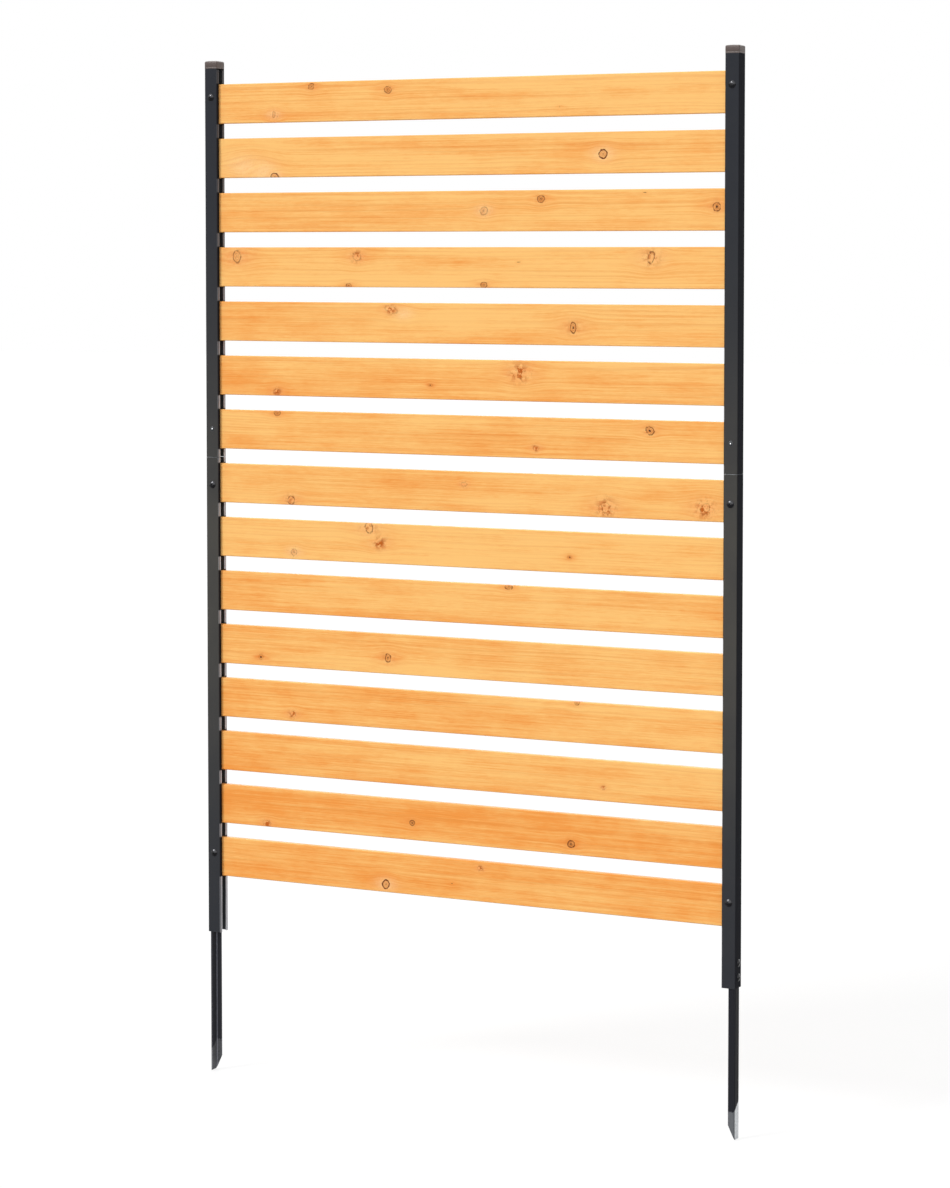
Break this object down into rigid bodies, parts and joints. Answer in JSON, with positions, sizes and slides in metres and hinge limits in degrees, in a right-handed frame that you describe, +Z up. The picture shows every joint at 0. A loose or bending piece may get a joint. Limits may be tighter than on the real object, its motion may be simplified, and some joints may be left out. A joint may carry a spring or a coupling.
{
  "type": "garden privacy screen",
  "caption": "Slatted garden privacy screen: horizontal wood boards held between dark steel channel posts with moulded caps and pointed ground stakes.",
  "frame": {"origin": "ground line, midway between the posts, in the middle plane of the slats", "axes": "+X from the left post to the right post as seen from the front, +Y from the front to the back, +Z up"},
  "size_m": [0.8848, 0.0254, 1.566],
  "materials": {
    "stained_wood": "honey-coloured transparent stain, planed, small knots",
    "coated_steel": "charcoal powder coat, satin",
    "stake_steel": "black coat, bare zinc at the point",
    "cap_plastic": "grey-brown moulded plastic, fine texture",
    "spacer_plastic": "black moulded plastic",
    "black_screws": "black zinc-plated steel, glossy",
    "zinc_steel": "zinc-plated",
    "rivet_aluminium": "dull"
  },
  "bodies": {
    "root": {"post_upper_left": "coated_steel", "post_lower_left": "coated_steel", "cap_left": "cap_plastic", "joiner_left": "zinc_steel", "slat_spacers_left": "spacer_plastic", "stake_left": "stake_steel", "post_upper_right": "coated_steel", "post_lower_right": "coated_steel", "cap_right": "cap_plastic", "joiner_right": "zinc_steel", "slat_spacers_right": "spacer_plastic", "stake_right": "stake_steel", "slat_01": "stained_wood", "slat_02": "stained_wood", "slat_03": "stained_wood", "slat_04": "stained_wood", "slat_05": "stained_wood", "slat_06": "stained_wood", "slat_07": "stained_wood", "slat_08": "stained_wood", "slat_09": "stained_wood", "slat_10": "stained_wood", "slat_11": "stained_wood", "slat_12": "stained_wood", "slat_13": "stained_wood", "slat_14": "stained_wood", "slat_15": "stained_wood", "slat_screws": "black_screws", "joiner_rivets": "rivet_aluminium", "stake_bolts": "black_screws", "stake_nuts": "zinc_steel"}
  },
  "joints": []
}
